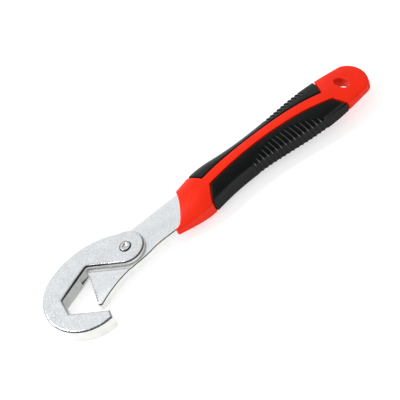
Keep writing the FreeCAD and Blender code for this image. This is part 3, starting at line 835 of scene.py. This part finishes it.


def plated_steel(name, tint, rough, grain, seed, edge_reflection):
    """Satin nickel plate over a fine forged or rolled skin: soft clouds, fine pits, painted dark reflection
    on the working edges and painted shade round the rivet.
    """
    n = Nodes(name)
    spot, near, far, way, width = edge_reflection
    clouds = n.noise(0.11, 3.0, 0.55, seed=seed)
    fine = n.noise(0.95, 4.0, 0.7, seed=seed + 3)
    speck = n.noise(3.0, 2.0, 0.6, seed=seed + 7)
    dull = tuple(channel * 0.94 for channel in tint)
    pitted = tuple(channel * 0.62 for channel in tint)
    colour = n.mix(n.remap(clouds, 0.35, 0.68, 0.0, 1.0), dull, tint)
    colour = n.mix(n.remap(fine, 0.42, 0.72, 0.0, 0.7), colour, pitted)
    colour = n.mix(n.math("MULTIPLY", n.edges(), 0.7), colour, (0.93, 0.94, 0.94))
    soft = n.soft_edges(width)
    close = n.remap(n.distance(place(spot)), near, far, 1.0, 0.0)
    dark_edge_mask = n.remap(n.facing(soft.outputs["Normal"], way), 0.04, 0.50, 0.0, 1.0)
    patchy = n.remap(fine, 0.3, 0.6, 0.75, 1.0)
    # painted dark reflection on the edges near the spot that face the given way
    colour = n.mix(n.math("MULTIPLY", n.math("MULTIPLY", dark_edge_mask, close), patchy), colour, PAINTED_DARK)
    # painted shade in the seam round the rivet's head
    colour = n.mix(n.ring(*SEAM_SHADE_RING), colour, PAINTED_DARK)
    n.set(Base_Color=colour, Metallic=1.0)
    base = n.remap(clouds, 0.3, 0.7, rough - 0.02, rough + 0.03)
    n.set(Roughness=n.math("ADD", base, n.remap(speck, 0.3, 0.7, -0.03, 0.05)))
    soft_bump = n.bump(clouds, 0.04 * grain, 0.15)
    n.chain(soft_bump, n.bump(fine, 0.16 * grain, 1.0), n.bump(speck, 0.012 * grain, 0.6))
    return n.material


def peened_steel():
    """The rivet's head: hammered bright, with painted shade in the seam where it meets the hook."""
    n = Nodes("rivet_plate")
    clouds = n.noise(0.5, 3.0, 0.6, seed=59.0)
    hammered = n.cells(0.9, "SMOOTH_F1")
    colour = n.mix(n.remap(clouds, 0.35, 0.65, 0.0, 1.0), (0.50, 0.50, 0.50), (0.74, 0.74, 0.75))
    # painted shade in the seam round the rivet's head
    colour = n.mix(n.ring(SEAM_SHADE_RING[0] - 0.15, SEAM_SHADE_RING[1]), colour, PAINTED_DARK)
    n.set(Base_Color=colour, Metallic=1.0, Roughness=n.remap(clouds, 0.3, 0.7, 0.13, 0.22))
    n.chain(n.bump(hammered, 0.10, 0.7), n.bump(clouds, 0.05, 0.5))
    return n.material


def sawn_steel():
    """The plated cut walls: rougher and paler than the faces, with painted shade in the mouth, and faint cut
    marks.
    """
    n = Nodes("sawn_plate")
    marks = n.noise(0.9, 3.0, 0.6, stretch=(1.0, 1.0, 0.25), seed=71.0)
    clouds = n.noise(0.2, 3.0, 0.5, seed=73.0)
    spot, near, far = MOUTH_WALL_SHADE
    colour = n.mix(n.remap(clouds, 0.3, 0.7, 0.0, 1.0), (0.80, 0.80, 0.77), (0.90, 0.90, 0.87))
    close = n.remap(n.distance(place(spot)), near, far, 0.85, 0.0)
    mouth_shade = n.math("MULTIPLY", close, n.remap(marks, 0.3, 0.7, 0.7, 1.0))
    # painted shade on the walls in the mouth, broken up by the cut marks
    colour = n.mix(mouth_shade, colour, (0.34, 0.36, 0.345))
    n.set(Base_Color=colour, Metallic=0.15, Roughness=n.remap(marks, 0.3, 0.7, 0.38, 0.52))
    n.chain(n.bump(marks, 0.05, 0.6))
    return n.material


def red_plastic():
    """The hard moulding: soft clouds in the colour, and edges rubbed a little paler."""
    n = Nodes("red_plastic")
    clouds = n.noise(0.06, 3.0, 0.5, seed=2.0)
    fine = n.noise(5.0, 3.0, 0.6, seed=4.0)
    colour = n.mix(n.remap(clouds, 0.3, 0.7, 0.0, 1.0), (0.70, 0.015, 0.002), (0.82, 0.021, 0.003))
    colour = n.mix(n.math("MULTIPLY", n.edges(0.53, 0.7), 0.3), colour, (1.0, 0.07, 0.04))
    n.set(Base_Color=colour, Roughness=n.remap(fine, 0.3, 0.7, 0.30, 0.40), Specular_IOR_Level=0.12)
    n.chain(n.bump(clouds, 0.12, 0.3), n.bump(fine, 0.012, 0.5))
    return n.material


def black_rubber():
    """The soft moulding, with a painted highlight on its ribs' crests and painted shade in their valleys."""
    n = Nodes("black_rubber")
    clouds = n.noise(0.08, 3.0, 0.55, seed=11.0)
    grain = n.noise(3.2, 4.0, 0.7, seed=13.0)
    pits = n.cells(2.6)
    rib_painted_light = n.add("ShaderNodeAttribute", attribute_name="rib_painted_light").outputs["Fac"]
    colour = n.mix(n.remap(clouds, 0.3, 0.7, 0.0, 1.0), (0.0048, 0.0052, 0.0052), (0.0080, 0.0086, 0.0086))
    # painted shade in the ribs' valleys
    colour = n.mix(n.remap(rib_painted_light, -0.9, -0.1, 1.0, 0.0), colour, (0.0018, 0.0019, 0.0019))
    # painted highlight on the ribs' crests and along the ridge
    colour = n.mix(n.remap(rib_painted_light, 0.0, 1.0, 0.0, 1.0), colour, (0.400, 0.415, 0.415))
    n.set(Base_Color=colour, Roughness=n.remap(grain, 0.3, 0.7, 0.30, 0.42), Specular_IOR_Level=0.11)
    n.chain(n.bump(grain, 0.03, 0.6), n.bump(pits, 0.015, 0.4))
    return n.material


def spring_wire():
    """Bare drawn wire with faint lines along it."""
    n = Nodes("spring_wire")
    lines = n.noise(3.0, 2.0, 0.5, stretch=(1.0, 1.0, 0.2), seed=21.0)
    n.set(Base_Color=n.mix(lines, (0.20, 0.20, 0.22), (0.34, 0.34, 0.36)), Metallic=1.0)
    n.set(Roughness=n.remap(lines, 0.3, 0.7, 0.28, 0.42))
    n.chain(n.bump(lines, 0.01, 0.5))
    return n.material


def dress(piece, material, walls=None):
    """Give a piece its material, and its upright walls another."""
    piece.data.materials.clear()
    piece.data.materials.append(material)
    if walls:
        piece.data.materials.append(walls)
        for polygon in piece.data.polygons:
            polygon.material_index = int(abs(polygon.normal.z) < WALL_SLOPE)


# ---- make and attach the pieces ---------------------------------------------------------------------------
forged = plated_steel("forged_plate", (0.75, 0.78, 0.80), 0.26, 1.0, 31.0, HOOK_EDGE_DARK_REFLECTION)
rolled = plated_steel("rolled_plate", (0.75, 0.78, 0.80), 0.25, 0.8, 47.0, JAW_EDGE_DARK_REFLECTION)
riveted = peened_steel()
red = red_plastic()
black = black_rubber()
sawn = sawn_steel()
hook = refined("hook_jaw", "hook_jaw_forging", hook_rounding, (FACE_ROUND, STEP_ROUND, FINE_ROUND), 4)
plate = refined("handle_bar", "handle_bar_plate", plate_rounding, (PLATE_CHAMFER, TEETH_ROUND, FINE_ROUND), 1)

rivet = make_rivet()
grip = make_body()
upper_pad = make_pad("grip_pad_upper_ribbed", "upper", upper_ribs)
lower_pad = make_pad("grip_pad_lower_ribbed", "lower", lower_ribs)
PIECES = (
    (hook, forged, sawn, "hook", "forged_steel", "hook_jaw"),
    (plate, rolled, sawn, "handle", "plate_steel", "handle_bar"),
    (rivet, riveted, None, "hook", "rivet_steel", "pivot_pin"),
    (grip, red, None, "handle", "red_plastic", "grip_body"),
    (upper_pad, black, None, "handle", "black_rubber", "grip_pad_upper"),
    (lower_pad, black, None, "handle", "black_rubber", "grip_pad_lower"),
)
for piece, material, walls, body, slot, node in PIECES:
    dress(piece, material, walls)
    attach(piece, body)
    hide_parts(node)
dress(frame["nodes"]["torsion_spring"], spring_wire())

# ---- floor, light and camera ------------------------------------------------------------------------------
# The wrench lies on its grip's belly and on the hook, so the floor leans a little in the part's frame.
BELLY_X = 92.0             # about the rivet, where the grip touches the floor
HOOK_REST_X = -38.0        # and where the hook does
FLOOR_HALF = 6.0           # in metres, and so is the gap under the grip
FLOOR_GAP = 0.0001
VIEW_TILT = 39.6           # camera's view from straight down, in degrees
VIEW_TURN = 10.0           # camera's view from square across the handle
VIEW_ROLL = 30.0
VIEW_DISTANCE = 1.1125     # in metres
LENS = 162.0
SENSOR = 36.0
# the sky that mirrors see: where it is brightest, then grey levels against the cosine of the angle from there
SKY_BRIGHT = (0.1, 0.75, 0.66)
SKY_STOPS = ((-0.7, 0.75), (-0.42, 0.45), (-0.24, 0.02), (0.2, 0.02), (0.65, 0.22), (0.88, 1.0), (1.0, 1.0))
SKY_EVEN = 0.86            # grey of the sky that lights everything else
FLOOR_GLOW = 0.60
KEY_SPOT = (-1.50, 1.20, 2.31)
KEY_SIZE = (0.45, 0.45)
KEY_POWER = 45.0
AIM = (53.8, -7.3)         # what the middle of the picture looks at, on the hook's upper face


def make_floor():
    """A white paper floor that glows a little, under the belly of the grip and the hook."""
    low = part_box("hook_jaw")[0].z
    belly = Vector((PIVOT[0] + BELLY_X * MM, 0.0, 0.0))
    rest = Vector((PIVOT[0] + HOOK_REST_X * MM, 0.0, low))
    lean = math.atan2(rest.z - belly.z, belly.x - rest.x)
    mesh = bpy.data.meshes.new("floor")
    size = FLOOR_HALF
    corners = [(-size, -size, 0), (size, -size, 0), (size, size, 0), (-size, size, 0)]
    mesh.from_pydata(corners, [], [(0, 1, 2, 3)])
    floor = bpy.data.objects.new("floor", mesh)
    bpy.context.scene.collection.objects.link(floor)
    under = belly - Vector((0, 0, FLOOR_GAP))
    floor.matrix_world = Matrix.Translation(under) @ Matrix.Rotation(lean, 4, "Y")
    n = Nodes("floor_paper")
    n.set(Base_Color=(0.55, 0.55, 0.55), Roughness=0.9, Specular_IOR_Level=0.1)
    n.set(Emission_Color=(1.0, 1.0, 1.0), Emission_Strength=FLOOR_GLOW)
    dress(floor, n.material)


def make_camera():
    """A long lens, looking down across the handle with the picture rolled."""
    tilt, turn, roll = (math.radians(value) for value in (VIEW_TILT, VIEW_TURN, VIEW_ROLL))
    view = Vector((math.sin(tilt) * math.sin(turn), math.sin(tilt) * math.cos(turn), -math.cos(tilt)))
    level = Vector((math.cos(turn), -math.sin(turn), 0.0))
    upright = level.cross(view)
    right = math.cos(roll) * level - math.sin(roll) * upright
    up = math.sin(roll) * level + math.cos(roll) * upright
    target = Vector(place((AIM[0], AIM[1], HOOK_FACE)))
    data = bpy.data.cameras.new("camera")
    data.lens = LENS
    data.sensor_width = SENSOR
    data.clip_end = 20.0
    camera = bpy.data.objects.new("camera", data)
    bpy.context.scene.collection.objects.link(camera)
    axes = Matrix((right, up, -view)).transposed().to_4x4()
    camera.matrix_world = Matrix.Translation(target - VIEW_DISTANCE * view) @ axes
    bpy.context.scene.camera = camera


def make_light(name, spot, aim, size, power):
    """A rectangular softbox."""
    data = bpy.data.lights.new(name, "AREA")
    data.shape = "RECTANGLE"
    data.size, data.size_y = size
    data.energy = power
    lamp = bpy.data.objects.new(name, data)
    bpy.context.scene.collection.objects.link(lamp)
    turn = (Vector(aim) - Vector(spot)).to_track_quat("-Z", "Y").to_matrix().to_4x4()
    lamp.matrix_world = Matrix.Translation(Vector(spot)) @ turn


def make_world():
    """An even white studio that lights the wrench, and an uneven one that only its reflections see."""
    world = bpy.data.worlds.new("studio")
    world.use_nodes = True
    tree = world.node_tree
    back = tree.nodes["Background"]
    where = tree.nodes.new("ShaderNodeTexCoord")
    dot = tree.nodes.new("ShaderNodeVectorMath")
    dot.operation = "DOT_PRODUCT"
    dot.inputs[1].default_value = Vector(SKY_BRIGHT).normalized()
    ramp = tree.nodes.new("ShaderNodeValToRGB")
    shift = tree.nodes.new("ShaderNodeMapRange")
    shift.inputs["From Min"].default_value = -1.0
    shift.inputs["From Max"].default_value = 1.0
    tree.links.new(where.outputs["Generated"], dot.inputs[0])
    tree.links.new(dot.outputs["Value"], shift.inputs["Value"])
    tree.links.new(shift.outputs["Result"], ramp.inputs["Fac"])
    stops = ramp.color_ramp.elements
    while len(stops) < len(SKY_STOPS):
        stops.new(0.5)
    for stop, (reach, grey) in zip(stops, SKY_STOPS):
        stop.position = (reach + 1) / 2
        stop.color = (grey, grey, grey, 1)
    tree.links.new(ramp.outputs["Color"], back.inputs["Color"])
    even = tree.nodes.new("ShaderNodeBackground")
    even.inputs["Color"].default_value = (SKY_EVEN, SKY_EVEN, SKY_EVEN, 1)
    blend = tree.nodes.new("ShaderNodeMixShader")
    path = tree.nodes.new("ShaderNodeLightPath")
    tree.links.new(path.outputs["Is Glossy Ray"], blend.inputs["Fac"])
    tree.links.new(even.outputs["Background"], blend.inputs[1])
    tree.links.new(back.outputs["Background"], blend.inputs[2])
    tree.links.new(blend.outputs["Shader"], tree.nodes["World Output"].inputs["Surface"])
    bpy.context.scene.world = world


make_floor()
make_camera()
make_world()
make_light("key_softbox", KEY_SPOT, (0, 0, 0), KEY_SIZE, KEY_POWER)
bpy.context.scene.view_settings.view_transform = "Standard"
